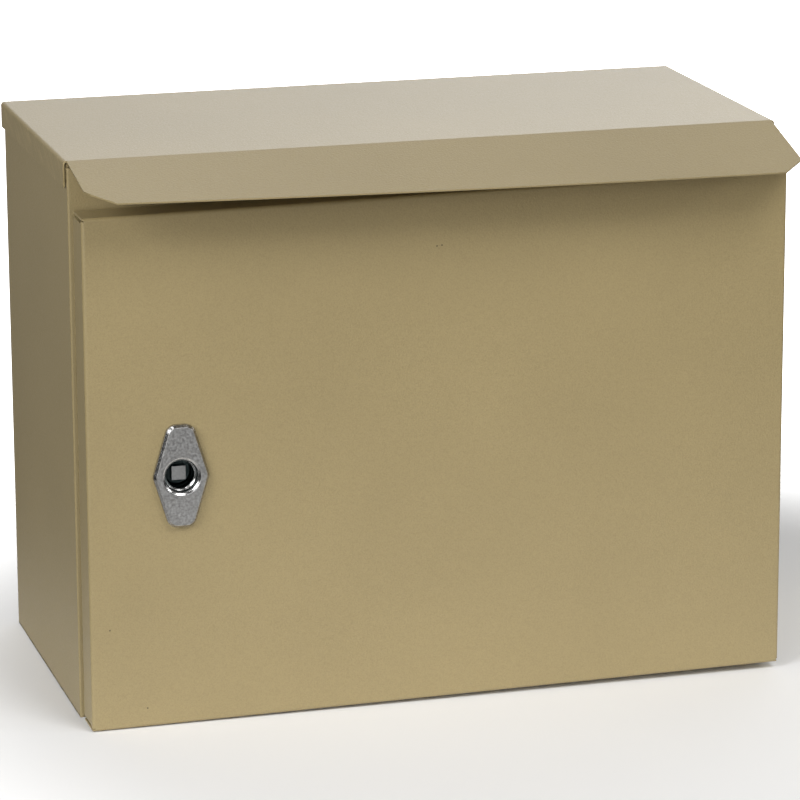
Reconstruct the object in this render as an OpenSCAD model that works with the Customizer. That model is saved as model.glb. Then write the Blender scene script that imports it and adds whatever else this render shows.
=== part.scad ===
// Outdoor electricity meter box: folded and welded steel body, folded roof with a rain hood,
// pan door on two butt hinges, square-key lock with a cranked cam, and a meter panel inside.
// Millimetres. +X right, +Y to the wall, +Z up.
// The origin is the middle of the four wall fixings, on the wall's face.

/* [Body] */
// Width across the side panels
body_w = 400; // [340:1:600]
// Height from the underside of the base to the top lips
body_h = 311; // [280:1:500]
// Depth from the wall's face to the front flanges
body_d = 182; // [140:1:300]
// Sheet thickness of the body
body_t = 1.2; // [0.8:0.1:1.8]
// Outside radius of a folded bend
bend_r = 2; // [1.9:0.1:3]
// Width of the front flanges, from the side panel to the opening
flange_w = 22; // [18:1:40]
// Height of the rim that is folded forward round the opening
rim_h = 16; // [8:1:18]
// Width of the lips folded inward at the top of the body
lip_w = 16; // [10:1:30]
// Gap between the front flange's top edge and the hood
flange_gap = 1.8; // [0.5:0.1:4]

/* [Wall fixings] */
// Distance of the fixing holes inside the side panels
fix_in = 25; // [14:1:50]
// Diameter of a fixing hole
fix_d = 8; // [5:0.5:12]
// Height of the lower fixing holes above the underside of the base
fix_low = 30; // [20:1:40]
// Distance of the upper fixing holes below the top lips
fix_high = 31; // [20:1:40]

/* [Knockouts] */
// Diameter of a cable knockout in the base
knock_d = 32; // [20:1:40]
// Distance between two knockouts
knock_span = 90; // [60:1:140]
// Distance of the knockouts from the wall's face
knock_y = 62; // [40:1:100]
// Depth that a knockout is pressed into the base
knock_sink = 0.5; // [0.2:0.1:0.8]

/* [Roof and hood] */
// Sheet thickness of the roof
roof_t = 1.2; // [0.8:0.1:1.8]
// Height of the skirts folded down at the sides of the roof
skirt_h = 14.5; // [8:0.5:20]
// Gap between a skirt and the side panel
skirt_gap = 1; // [0.5:0.1:3]
// Distance of the hood's bend behind the front flanges
hood_back = 3; // [2:0.5:12]
// Length of the hood along its slope
hood_len = 64.5; // [50:0.5:100]
// Slope of the hood below the roof, in degrees
hood_slope = 11.5; // [5:0.5:14]
// Width of the large cut at a hood corner
cut_w = 12; // [6:0.5:20]
// Length of the large cut at a hood corner
cut_d = 11; // [6:0.5:20]
// Width of the small cut behind it
nick_w = 3; // [1:0.5:5]
// Length of the small cut behind it
nick_d = 6.5; // [3:0.5:10]

/* [Door] */
// Height of the door
door_h = 284; // [250:1:290]
// Height of the door's lower edge above the underside of the base
door_lift = 1; // [0.6:0.1:4]
// Sheet thickness of the door
door_t = 1.2; // [0.8:0.1:1.8]
// Depth of the door's folded returns
door_d = 25; // [20:0.5:30]
// Gap between the returns and the front flanges
door_gap = 2; // [1:0.5:4]
// Distance of the door's lock edge inside the side panel
inset_lock = 2.5; // [1:0.5:6]
// Distance of the door's hinge edge inside the side panel
inset_hinge = 1.2; // [1:0.1:3]
// Open slit where two returns meet at a corner
slit = 0.3; // [0.1:0.1:1]

/* [Seal] */
// Width of the foam seal on the door
seal_w = 10; // [6:0.5:14]
// Clearance between the seal and the rim when the door is shut
seal_clear = 0.3; // [0.2:0.1:1]

/* [Hinges] */
// Height of a hinge
hinge_h = 50; // [36:1:70]
// Distance of a hinge's middle from the door's top or bottom edge
hinge_end = 55; // [40:1:80]
// Diameter of the hinge knuckles
knuckle_d = 6; // [5:0.1:6.4]
// Diameter of the hinge pin
pin_d = 3.4; // [2.5:0.1:3.8]
// Thickness of a hinge leaf
leaf_t = 1.5; // [1:0.1:1.8]
// Width of a hinge leaf from the pin's axis
leaf_w = 18; // [14:0.5:22]
// Distance of the pin's axis outside the side panel
axis_out = 2.2; // [2.1:0.1:3]
// Distance of the pin's axis in front of the front flanges
axis_fwd = 1.6; // [1.5:0.1:2.2]
// Gap along the pin between two knuckles
knuckle_gap = 0.4; // [0.2:0.1:1]
// Diameter of the pin's head
pin_head_d = 5.4; // [4.8:0.1:6]
// Height of the pin's head
pin_head_h = 1.2; // [0.8:0.1:2]

/* [Lock] */
// Distance of the lock's axis from the door's lock edge
lock_in = 50; // [44:0.5:70]
// Height of the lock's axis above the door's lower edge
lock_up = 141; // [100:1:180]
// Width of the lock plate
plate_w = 31.5; // [29:0.5:40]
// Height of the lock plate
plate_h = 57.5; // [50:0.5:70]
// Width of the lock plate's top and bottom edges
plate_end = 14; // [10:0.5:20]
// Thickness of the lock plate
plate_t = 4; // [3:0.1:6]
// Width of the bevel round the lock plate
plate_bevel = 1.6; // [0.8:0.1:2]
// Corner radius of the lock plate's outline
plate_r = 2.5; // [1:0.1:4]
// Diameter of the raised collar round the socket
collar_d = 21.6; // [21:0.1:24]
// Height of the collar above the plate
collar_h = 0.7; // [0.4:0.1:2]
// Radius of the collar's rounded edge
collar_r = 0.5; // [0.2:0.1:0.7]
// Diameter of the socket's flared mouth
mouth_d = 20; // [18.5:0.1:20.5]
// Depth of the flared mouth
mouth_depth = 3.5; // [2:0.5:5]
// Diameter of the key socket
socket_d = 17; // [15:0.1:18]
// Depth of the key socket below the collar
socket_depth = 16; // [13:0.5:17]
// Side of the square key spindle
square = 8; // [6:0.1:9]
// Depth of the square's end below the collar
square_depth = 9; // [6:0.5:10]
// Diameter of the lock barrel behind the plate
barrel_d = 22; // [21:0.1:24]
// Length of the lock barrel behind the plate
barrel_len = 20; // [18:0.5:22]
// Distance across the barrel's two flats
barrel_flats = 20; // [19.5:0.1:21]
// Diameter of the spindle's shaft
shaft_d = 12; // [11.5:0.1:13]
// Diameter of the spindle's shoulder
shoulder_d = 15.6; // [14:0.1:16]
// Thickness of the spindle's shoulder
shoulder_t = 2; // [1.5:0.1:3]
// Thickness of the lock nut
nut_t = 6; // [4:0.5:8]
// Distance across the lock nut's flats
nut_af = 30; // [28:0.5:34]
// Thickness of the lock washer
washer_t = 1.5; // [1:0.1:2]
// Outside diameter of the lock washer
washer_d = 31; // [28:0.5:36]

/* [Cam] */
// Thickness of the cam
cam_t = 3; // [2:0.1:4]
// Width of the cam
cam_w = 18; // [16:0.5:22]
// Reach of the cam from the lock's axis
cam_reach = 40; // [38:0.5:44]
// Length of the cam's flat hub from the lock's axis
cam_hub = 12; // [11:0.5:14]
// Length of the cam's crank
cam_crank = 10; // [8:0.5:12]
// Clearance between the cam and the back of the front flange
cam_clear = 0.5; // [0.3:0.1:2]
// Diameter of the cam screw
screw_d = 5; // [4:0.5:5]
// Length of the cam screw under its head
screw_len = 10; // [8:0.5:12]
// Distance across the flats of the cam screw's head
screw_head_af = 8; // [7:0.5:10]
// Height of the cam screw's head
screw_head_h = 3.5; // [3:0.1:4]
// Diameter of the cam washer
cam_washer_d = 14; // [12:0.5:16]
// Thickness of the cam washer
cam_washer_t = 1.2; // [0.8:0.1:1.6]

/* [Meter panel] */
// Gap between the meter panel and a side panel, measured to the side panel's outer face
panel_gap = 42; // [40:1:60]
// Height of the meter panel
panel_h = 226; // [180:1:260]
// Thickness of the meter panel
panel_t = 6; // [3:0.5:10]
// Corner radius of the meter panel
panel_r = 4; // [1:0.5:8]
// Distance of the panel's back above the back panel
panel_off = 30; // [20:1:50]
// Distance of a panel screw from the panel's edges
panel_edge = 16; // [14:1:24]
// Sheet thickness of a panel rail
rail_t = 1.6; // [1.2:0.1:1.8]
// Width of a rail's foot and of its face
rail_w = 24; // [20:1:30]
// Distance of a rail's ends inside the panel's upper and lower edges
rail_in = 8; // [0:1:10]
// Diameter of the panel screws
bolt_d = 5; // [4:0.5:6]
// Diameter of a panel screw's head
bolt_head_d = 9.5; // [8:0.5:12]
// Height of a panel screw's head
bolt_head_h = 3; // [2:0.1:4]
// Length of a panel screw under its head
bolt_len = 15; // [13:0.5:20]
// Distance across the flats of a panel nut
bolt_nut_af = 8; // [7:0.5:10]
// Thickness of a panel nut
bolt_nut_t = 4; // [3:0.5:5]

/* [Earth stud] */
// Diameter of the earth stud
earth_d = 6; // [5:0.5:8]
// Length of the earth stud
earth_len = 22; // [16:1:30]
// Diameter of the stud's welded foot
earth_foot_d = 9; // [8:0.5:12]
// Height of the stud's welded foot
earth_foot_h = 1; // [0.6:0.1:2]
// Distance of the earth stud inside the side panel
earth_in = 20; // [16:1:22]
// Height of the earth stud above the underside of the base
earth_up = 155; // [100:1:200]
// Outside diameter of the earth washer
earth_washer_d = 12; // [11:0.5:16]
// Thickness of the earth washer
earth_washer_t = 1.6; // [1:0.1:2]
// Distance across the flats of the earth nut
earth_nut_af = 10; // [9:0.5:13]
// Thickness of the earth nut
earth_nut_t = 5; // [4:0.5:7]

/* [Fits] */
// Radial clearance of a hinge pin or a spindle in its bore
run_clear = 0.05; // [0.02:0.01:0.1]
// Radial clearance of a screw, stud or barrel in its hole
hole_clear = 0.2; // [0.1:0.05:0.3]
// Clearance between faces that pass each other
pass_clear = 0.3; // [0.2:0.05:0.5]
// Clearance along a shaft at its shoulder
end_clear = 0.1; // [0.05:0.05:0.2]

/* [Hidden] */
$fn = 64;

paint = "#a89c74";
zinc = "#96948f";
steel = "#b4b6b8";
galvanised = "#a7abad";
foam = "#2b2b2b";
board = "#1f1f1f";
brass = "#b59a4a";

side_x = body_w / 2;
front_y = -body_d;
fix_span_x = body_w - 2 * fix_in;
fix_span_z = body_h - fix_low - fix_high;
base_z = -(fix_low + fix_span_z / 2);

// Length that a cutter runs past the face it opens, and that a stem runs into its shoulder
over = 1;

open_w = body_w - 2 * flange_w;
open_low = flange_w;
open_high = door_lift + door_h - flange_w;
open_h = open_high - open_low;
open_z = (open_high + open_low) / 2;

roof_w = body_w + 2 * (skirt_gap + roof_t);
roof_top = body_h + roof_t;
hood_y = front_y + hood_back;
flange_drop = hood_back * tan(hood_slope) + flange_gap;

door_left = -side_x + inset_lock;
door_right = side_x - inset_hinge;
door_w = door_right - door_left;
door_x = (door_left + door_right) / 2;
door_z = door_lift + door_h / 2;
door_edge_y = front_y - door_gap;
door_face_y = door_edge_y - door_d;
door_in_y = door_face_y + door_t;
corner_cut = door_t + slit;

rim_y = front_y + body_t - rim_h;
seal_t = rim_y - seal_clear - door_in_y;

axis_x = side_x + axis_out;
axis_y = front_y - axis_fwd;
hinge_low = door_lift + hinge_end;
hinge_high = door_lift + door_h - hinge_end;
knuckle_h = (hinge_h - 2 * knuckle_gap) / 3;

lock_x = door_left + lock_in;
lock_z = door_lift + lock_up;
collar_y = door_face_y - plate_t - collar_h;
floor_y = collar_y + socket_depth;
barrel_end = door_face_y + barrel_len;
cam_y = barrel_end + 2 * end_clear;
cam_back = cam_y + cam_t;
tongue_y = front_y + body_t + cam_clear;
cam_angle = atan((tongue_y - cam_y) / cam_crank);
cam_shift = cam_t * tan(cam_angle / 2);

panel_w = body_w - 2 * panel_gap;
rail_len = panel_h - 2 * rail_in;
panel_z = fix_low + fix_span_z / 2;
panel_back = -body_t - panel_off;
panel_front = panel_back - panel_t;
bolt_x = panel_w / 2 - panel_edge;
bolt_z = panel_h / 2 - panel_edge;
earth_x = -side_x + earth_in;

// Puts a sub-part, drawn from the underside of the base, into the frame of the wall fixings
module placed() {
    translate([0, 0, base_z]) children();
}

// Rectangle with rounded corners, centred
module round_rect(w, d, r) {
    square([w - 2 * r, d], center = true);
    square([w, d - 2 * r], center = true);
    for (x = [-1, 1], y = [-1, 1])
        translate([x * (w / 2 - r), y * (d / 2 - r)]) circle(r);
}

// Section of a sheet that comes along -X and folds at the origin's corner into a strip along +Y
module fold_profile(depth, t) {
    translate([-bend_r, bend_r]) intersection() {
        difference() {
            circle(bend_r);
            circle(bend_r - t);
        }
        translate([0, -bend_r]) square(bend_r);
    }
    translate([-t, bend_r]) square([t, depth - bend_r]);
}

// A folded edge of the given length, centred along Z
module fold_edge(length, depth, t) {
    linear_extrude(length, center = true) fold_profile(depth, t);
}

// The four sides of an upright rectangle: turn about Y, size across the turned X, length of the side
function four_sides(w, h) = [[0, w, h], [90, h, w], [180, w, h], [270, h, w]];

// Cylinder along +Y from the given start
module rod_y(y0, length, d) {
    translate([0, y0, 0]) rotate([-90, 0, 0]) cylinder(h = length, d = d);
}

// Hole along +Y right through a piece of the given start and thickness
module bore_y(y0, length, d) {
    rod_y(y0 - over, length + 2 * over, d);
}

// Hexagonal prism along +Y, measured across its flats
module hex_y(y0, length, af) {
    translate([0, y0, 0]) rotate([-90, 0, 0]) cylinder(h = length, d = af / cos(30), $fn = 6);
}

// Square prism along +Y
module square_y(y0, length, side) {
    translate([-side / 2, y0, -side / 2]) cube([side, length, side]);
}

module at_lock() {
    translate([lock_x, 0, lock_z]) children();
}

module at_fixings() {
    for (x = [-1, 1], z = [0, 1])
        translate([x * fix_span_x / 2, 0, fix_low + z * fix_span_z]) children();
}

module at_panel_screws() {
    for (x = [-1, 1], z = [-1, 1])
        translate([x * bolt_x, 0, panel_z + z * bolt_z]) children();
}

module at_knockouts() {
    for (x = [-1, 0, 1])
        translate([x * knock_span, -knock_y, 0]) children();
}

// Rim folded forward round the opening
module opening_rim() {
    translate([0, front_y + body_t, open_z])
        for (side = four_sides(open_w, open_h))
            rotate([0, side[0], 0])
                translate([side[1] / 2, 0, 0])
                    rotate([0, 0, 180])
                        fold_edge(side[2] + 2 * body_t, rim_h, body_t);
}

// Room for the hood above the front of the body
module hood_room() {
    translate([-body_w, front_y - bend_r, body_h - flange_drop])
        cube([2 * body_w, bend_r + hood_back + body_t, 2 * flange_drop]);
}

// One folded sheet: back, two sides with their front bends, and the lips that carry the roof
module body_shell() {
    color(paint) difference() {
        translate([0, front_y / 2, 0]) {
            translate([0, 0, body_t]) linear_extrude(body_h - body_t) difference() {
                round_rect(body_w, body_d, bend_r);
                round_rect(body_w - 2 * body_t, body_d - 2 * body_t, bend_r - body_t);
                translate([0, -body_d / 2]) square([body_w - 2 * bend_r, 2 * body_t], center = true);
            }
            translate([0, 0, body_h - body_t]) linear_extrude(body_t) difference() {
                round_rect(body_w, body_d, bend_r);
                translate([0, -lip_w]) square([body_w - 2 * lip_w, body_d], center = true);
            }
        }
        hood_room();
        at_fixings() rod_y(-2 * body_t, 3 * body_t, fix_d);
    }
}

// Flat base welded under the body, with pressed cable knockouts
module base_plate() {
    color(paint) difference() {
        union() {
            translate([0, front_y / 2, 0]) linear_extrude(body_t) round_rect(body_w, body_d, bend_r);
            at_knockouts() translate([0, 0, body_t]) cylinder(h = knock_sink, d = knock_d);
        }
        at_knockouts() translate([0, 0, -body_t]) cylinder(h = body_t + knock_sink, d = knock_d);
    }
}

// Frame welded between the front bends: flanges, a rim round the opening, and a lip under the hood
module front_frame() {
    frame_w = body_w - 2 * bend_r;
    frame_top = body_h - flange_drop;
    color(paint) {
        difference() {
            translate([-frame_w / 2, front_y, body_t]) cube([frame_w, body_t, frame_top - body_t]);
            translate([0, front_y + body_t / 2, open_z]) {
                cube([open_w + 2 * bend_r, 2 * body_t, open_h], center = true);
                cube([open_w, 2 * body_t, open_h + 2 * bend_r], center = true);
            }
        }
        translate([-frame_w / 2, front_y, frame_top - body_t]) cube([frame_w, lip_w, body_t]);
        opening_rim();
    }
}

// One folded sheet: flat roof, two side skirts and a sloping rain hood with cut corners
module roof_hood() {
    hood_half = roof_w / 2;
    color(paint) {
        translate([-hood_half + bend_r, hood_y, body_h])
            cube([roof_w - 2 * bend_r, -hood_y, roof_t]);
        for (turn = [0, 180])
            translate([0, hood_y / 2, roof_top])
                rotate([0, 0, turn])
                    translate([hood_half, 0, 0])
                        rotate([-90, 0, 0])
                            fold_edge(-hood_y, skirt_h, roof_t);
        translate([0, hood_y, roof_top - bend_r]) {
            rotate([0, 90, 0]) linear_extrude(roof_w, center = true) hood_bend();
            rotate([hood_slope, 0, 0])
                translate([0, 0, bend_r - roof_t])
                    linear_extrude(roof_t)
                        polygon([
                            [-hood_half, 0],
                            [hood_half, 0],
                            [hood_half, -hood_len + cut_d + nick_d],
                            [hood_half - nick_w, -hood_len + cut_d],
                            [hood_half - nick_w - cut_w, -hood_len],
                            [-hood_half + nick_w + cut_w, -hood_len],
                            [-hood_half + nick_w, -hood_len + cut_d],
                            [-hood_half, -hood_len + cut_d + nick_d]
                        ]);
        }
    }
}

// Section of the bend between the roof and the hood, drawn with the roof's normal along -X
module hood_bend() {
    intersection() {
        difference() {
            circle(bend_r);
            circle(bend_r - roof_t);
        }
        polygon([
            [0, 0],
            [-2 * bend_r, 0],
            [-2 * bend_r, -2 * bend_r * tan(hood_slope)]
        ]);
    }
}

// One folded pan with open corners and a hole for the lock
module door_panel() {
    color(paint) difference() {
        translate([door_x, door_face_y, door_z]) {
            translate([0, door_t / 2, 0])
                cube([door_w - 2 * bend_r, door_t, door_h - 2 * bend_r], center = true);
            for (side = four_sides(door_w, door_h))
                rotate([0, side[0], 0])
                    translate([side[1] / 2, 0, 0])
                        fold_edge(side[2] - 2 * corner_cut, door_d, door_t);
        }
        at_lock() barrel_form(door_face_y - door_t, 3 * door_t, 2 * hole_clear);
    }
}

// Ring of foam strip on the door's inner face, over the rim
module door_seal() {
    grow = seal_w - body_t;
    color(foam) translate([0, door_in_y + seal_t / 2, open_z]) difference() {
        cube([open_w + 2 * body_t + grow, seal_t, open_h + 2 * body_t + grow], center = true);
        cube([open_w - grow, 2 * seal_t, open_h - grow], center = true);
    }
}

// Barrel section with two flats, larger by the given clearance
module barrel_form(y0, length, grow) {
    intersection() {
        rod_y(y0, length, barrel_d + grow);
        translate([-barrel_d, y0, -(barrel_flats + grow) / 2])
            cube([2 * barrel_d, length, barrel_flats + grow]);
    }
}

// Height of the n-th knuckle above the hinge's lower end
function knuckle_z(n) = n * (knuckle_h + knuckle_gap);

module hinge_at(z) {
    translate([axis_x, axis_y, z - hinge_h / 2]) children();
}

// Space that the other leaf's knuckles turn in
module knuckle_room(n) {
    translate([0, 0, knuckle_z(n) - knuckle_gap])
        cylinder(h = knuckle_h + 2 * knuckle_gap, d = knuckle_d + 2 * pass_clear);
}

// Bore for the pin through the three knuckles
module pin_bore() {
    translate([0, 0, -over]) cylinder(h = hinge_h + 2 * over, d = pin_d + 2 * run_clear);
}

// Leaf on the side panel, with the outer two knuckles
module hinge_body_leaf(z) {
    color(paint) hinge_at(z) difference() {
        union() {
            for (n = [0, 2])
                translate([0, 0, knuckle_z(n)]) cylinder(h = knuckle_h, d = knuckle_d);
            difference() {
                translate([-axis_out, axis_fwd + bend_r - leaf_t, 0])
                    cube([leaf_t, leaf_w - axis_fwd - bend_r + leaf_t, hinge_h]);
                knuckle_room(1);
            }
            for (n = [0, 2])
                translate([-axis_out, 0, knuckle_z(n)])
                    cube([leaf_t, axis_fwd + bend_r, knuckle_h]);
        }
        pin_bore();
    }
}

// Joggled leaf on the door's return, with the middle knuckle
module hinge_door_leaf(z) {
    face_x = door_right - axis_x;
    edge_y = door_edge_y - axis_y;
    foot_y = edge_y - leaf_t;
    color(paint) hinge_at(z) difference() {
        union() {
            translate([0, 0, knuckle_z(1)]) {
                cylinder(h = knuckle_h, d = knuckle_d);
                linear_extrude(knuckle_h) polygon([
                    [face_x, foot_y - leaf_t],
                    [face_x, foot_y - 2 * leaf_t - knuckle_d / 2],
                    [face_x + leaf_t, foot_y - 2 * leaf_t - knuckle_d / 2],
                    [0, -knuckle_d / 2],
                    [0, 0],
                    [-knuckle_d / 2, 0]
                ]);
            }
            difference() {
                translate([face_x, -leaf_w, 0]) cube([leaf_t, leaf_w + foot_y, hinge_h]);
                for (n = [0, 2]) knuckle_room(n);
            }
        }
        pin_bore();
    }
}

// Headed pin through the three knuckles
module hinge_pin(z) {
    color(steel) hinge_at(z) {
        cylinder(h = hinge_h, d = pin_d);
        translate([0, 0, hinge_h]) cylinder(h = pin_head_h, d = pin_head_d);
    }
}

// Outline of the lock plate, smaller by the given inset
module plate_outline(inset) {
    half_w = plate_w / 2 - plate_r - inset;
    half_h = plate_h / 2 - plate_r - inset;
    half_end = plate_end / 2 - plate_r - inset / 2;
    hull() {
        for (x = [-1, 1]) {
            translate([x * half_w, 0]) circle(plate_r, $fn = 32);
            for (z = [-1, 1])
                translate([x * half_end, z * half_h]) circle(plate_r, $fn = 32);
        }
    }
}

// Ring round the socket with a rounded edge
module collar() {
    edge = collar_d / 2 - collar_r;
    rise = plate_t + collar_h - collar_r;
    translate([0, door_face_y, 0]) rotate([90, 0, 0]) rotate_extrude() {
        square([edge, plate_t + collar_h]);
        square([collar_d / 2, rise]);
        translate([edge, rise]) circle(collar_r);
    }
}

// One die casting: bevelled plate, collar with a flared key socket, and barrel with two flats
module lock_plate() {
    flat_t = plate_t - plate_bevel;
    mouth_flare = (mouth_d - socket_d) / mouth_depth;
    color(zinc) at_lock() difference() {
        union() {
            translate([0, door_face_y, 0]) rotate([90, 0, 0]) hull() {
                linear_extrude(flat_t) plate_outline(0);
                linear_extrude(plate_t) plate_outline(plate_bevel);
            }
            collar();
            barrel_form(door_face_y - plate_t / 2, barrel_len + plate_t / 2, 0);
        }
        rod_y(collar_y - over, socket_depth + over, socket_d);
        translate([0, collar_y - over, 0]) rotate([-90, 0, 0])
            cylinder(h = mouth_depth + over, d1 = mouth_d + over * mouth_flare, d2 = socket_d);
        bore_y(floor_y, barrel_end - floor_y, shaft_d + 2 * run_clear);
    }
}

// Turned spindle: square for the key, shoulder, shaft, and a square that drives the cam
module lock_spindle() {
    shoulder_y = floor_y - end_clear - shoulder_t;
    color(steel) at_lock() difference() {
        union() {
            square_y(collar_y + square_depth, shoulder_y - collar_y - square_depth + over, square);
            rod_y(shoulder_y, shoulder_t, shoulder_d);
            rod_y(shoulder_y, cam_y - shoulder_y, shaft_d);
            square_y(cam_y - over, cam_t + over - end_clear, square);
        }
        bore_y(cam_back - screw_len, screw_len, screw_d + 2 * run_clear);
    }
}

module lock_washer() {
    color(steel) at_lock() difference() {
        rod_y(door_in_y, washer_t, washer_d);
        bore_y(door_in_y, washer_t, barrel_d + 2 * hole_clear);
    }
}

module lock_nut() {
    nut_y = door_in_y + washer_t;
    color(zinc) at_lock() difference() {
        hex_y(nut_y, nut_t, nut_af);
        bore_y(nut_y, nut_t, barrel_d + 2 * run_clear);
    }
}

// Cranked cam, drawn hanging down as it is when the door is unlocked
module lock_cam() {
    cam_deep = tongue_y + cam_t - cam_y;
    color(galvanised) at_lock() difference() {
        intersection() {
            rotate([0, 90, 0]) linear_extrude(cam_w, center = true) cam_section();
            rotate([-90, 0, 0]) translate([0, 0, cam_y - over]) linear_extrude(cam_deep + 2 * over) {
                circle(d = cam_w);
                translate([-cam_w / 2, 0]) square([cam_w, cam_reach - cam_w / 2]);
                translate([0, cam_reach - cam_w / 2]) circle(d = cam_w);
            }
        }
        square_y(cam_y - over, cam_t + 2 * over, square + hole_clear);
    }
}

// Side section of the cam, with the reach along +X and the depth along +Y
module cam_section() {
    crank_end = cam_hub + cam_crank;
    polygon([
        [-cam_w / 2, cam_y],
        [cam_hub, cam_y],
        [crank_end, tongue_y],
        [cam_reach, tongue_y],
        [cam_reach, tongue_y + cam_t],
        [crank_end - cam_shift, tongue_y + cam_t],
        [cam_hub - cam_shift, cam_back],
        [-cam_w / 2, cam_back]
    ]);
}

module cam_washer() {
    color(steel) at_lock() difference() {
        rod_y(cam_back, cam_washer_t, cam_washer_d);
        bore_y(cam_back, cam_washer_t, screw_d + 2 * hole_clear);
    }
}

// Hexagon-headed screw that holds the cam on the spindle
module cam_screw() {
    head_y = cam_back + cam_washer_t;
    color(steel) at_lock() {
        hex_y(head_y, screw_head_h, screw_head_af);
        rod_y(head_y - screw_len, screw_len + screw_head_h / 2, screw_d);
    }
}

// Folded Z-section rail: foot on the back panel, web, and a face for the meter panel
module panel_rail(hand) {
    color(galvanised) difference() {
        translate([hand * bolt_x, -body_t, panel_z])
            linear_extrude(rail_len, center = true)
                mirror([hand < 0 ? 1 : 0, 0]) rail_section();
        at_panel_screws() bore_y(panel_back, rail_t, bolt_d + 2 * hole_clear);
    }
}

// The face is centred on the screw line, and the foot points to the box's middle
module rail_section() {
    web_x = -rail_w / 2;
    translate([web_x - rail_w + rail_t, -rail_t]) square([rail_w - bend_r, rail_t]);
    translate([web_x + rail_t, 0]) mirror([0, 1]) fold_profile(panel_off / 2, rail_t);
    translate([web_x, -panel_off]) mirror([1, 0]) fold_profile(panel_off / 2, rail_t);
    translate([web_x + bend_r, -panel_off]) square([rail_w - bend_r, rail_t]);
}

module meter_panel() {
    color(board) difference() {
        translate([0, panel_back, panel_z]) rotate([90, 0, 0])
            linear_extrude(panel_t) round_rect(panel_w, panel_h, panel_r);
        at_panel_screws() bore_y(panel_front, panel_t, bolt_d + 2 * hole_clear);
    }
}

module panel_screws() {
    color(steel) at_panel_screws() {
        rod_y(panel_front - bolt_head_h, bolt_head_h, bolt_head_d);
        rod_y(panel_front - bolt_head_h / 2, bolt_len + bolt_head_h / 2, bolt_d);
    }
}

module panel_nuts() {
    nut_y = panel_back + rail_t;
    color(steel) at_panel_screws() difference() {
        hex_y(nut_y, bolt_nut_t, bolt_nut_af);
        bore_y(nut_y, bolt_nut_t, bolt_d + 2 * run_clear);
    }
}

module at_earth() {
    translate([earth_x, -body_t, earth_up]) children();
}

module earth_stud() {
    color(brass) at_earth() {
        rod_y(-earth_foot_h, earth_foot_h, earth_foot_d);
        rod_y(-earth_len, earth_len, earth_d);
    }
}

module earth_washer() {
    washer_y = -earth_foot_h - earth_washer_t;
    color(brass) at_earth() difference() {
        rod_y(washer_y, earth_washer_t, earth_washer_d);
        bore_y(washer_y, earth_washer_t, earth_d + 2 * hole_clear);
    }
}

module earth_nut() {
    nut_y = -earth_foot_h - earth_washer_t - earth_nut_t;
    color(brass) at_earth() difference() {
        hex_y(nut_y, earth_nut_t, earth_nut_af);
        bore_y(nut_y, earth_nut_t, earth_d + 2 * run_clear);
    }
}

placed() body_shell();
placed() base_plate();
placed() front_frame();
placed() roof_hood();
placed() door_panel();
placed() door_seal();
placed() hinge_body_leaf(hinge_high);  // upper_hinge_body_leaf
placed() hinge_door_leaf(hinge_high);  // upper_hinge_door_leaf
placed() hinge_pin(hinge_high);  // upper_hinge_pin
placed() hinge_body_leaf(hinge_low);  // lower_hinge_body_leaf
placed() hinge_door_leaf(hinge_low);  // lower_hinge_door_leaf
placed() hinge_pin(hinge_low);  // lower_hinge_pin
placed() lock_plate();
placed() lock_spindle();
placed() lock_washer();
placed() lock_nut();
placed() lock_cam();
placed() cam_washer();
placed() cam_screw();
placed() panel_rail(-1);  // left_panel_rail
placed() panel_rail(1);  // right_panel_rail
placed() meter_panel();
placed() panel_screws();
placed() panel_nuts();
placed() earth_stud();
placed() earth_washer();
placed() earth_nut();
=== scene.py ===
import math

import bmesh
import bpy
from mathutils import Matrix, Vector


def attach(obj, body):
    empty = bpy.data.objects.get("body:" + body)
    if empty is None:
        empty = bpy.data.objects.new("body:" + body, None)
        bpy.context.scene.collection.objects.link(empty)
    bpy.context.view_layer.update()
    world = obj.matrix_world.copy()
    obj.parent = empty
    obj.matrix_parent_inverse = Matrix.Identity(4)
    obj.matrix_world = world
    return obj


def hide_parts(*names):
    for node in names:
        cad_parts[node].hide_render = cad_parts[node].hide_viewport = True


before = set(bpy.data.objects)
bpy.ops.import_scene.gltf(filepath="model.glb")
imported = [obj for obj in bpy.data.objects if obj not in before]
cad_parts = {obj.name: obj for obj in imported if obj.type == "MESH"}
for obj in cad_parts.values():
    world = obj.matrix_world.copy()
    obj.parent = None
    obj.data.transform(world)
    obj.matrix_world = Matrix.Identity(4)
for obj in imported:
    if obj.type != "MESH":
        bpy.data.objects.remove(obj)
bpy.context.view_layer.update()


# ---- Body: wrap, base plate, front frame and hinge leaves ----
# Folded and spot-welded steel sheet, coated after welding with a khaki powder that cures with a fine
# orange peel. The wrap is bent a little tighter than its drawing, and its left side stands out at the top.

def adder(tree):
    """A way to add a node to this tree, with its wires and settings."""
    def add(kind, wires=(), **settings):
        node = tree.nodes.new(kind)
        for key, value in settings.items():
            if hasattr(node, key):
                setattr(node, key, value)
            else:
                node.inputs[key.replace("_", " ").title()].default_value = value
        for source, socket in wires:
            tree.links.new(source, node.inputs[socket])
        return node

    return add


def blank_material(name):
    """A material with its tree, its shader, the object's own coordinates and a way to add nodes."""
    material = bpy.data.materials.new(name)
    material.use_nodes = True
    tree = material.node_tree
    add = adder(tree)
    return material, tree, tree.nodes["Principled BSDF"], add("ShaderNodeTexCoord").outputs["Object"], add


def ramp(add, source, stops):
    """A colour ramp over the source with (place, colour) stops."""
    node = add("ShaderNodeValToRGB", [(source, "Fac")])
    points = node.color_ramp.elements
    while len(points) < len(stops):
        points.new(0.5)
    for point, (where, colour) in zip(points, stops):
        point.position = where
        point.color = (*colour, 1.0)
    return node.outputs["Color"]


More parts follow.
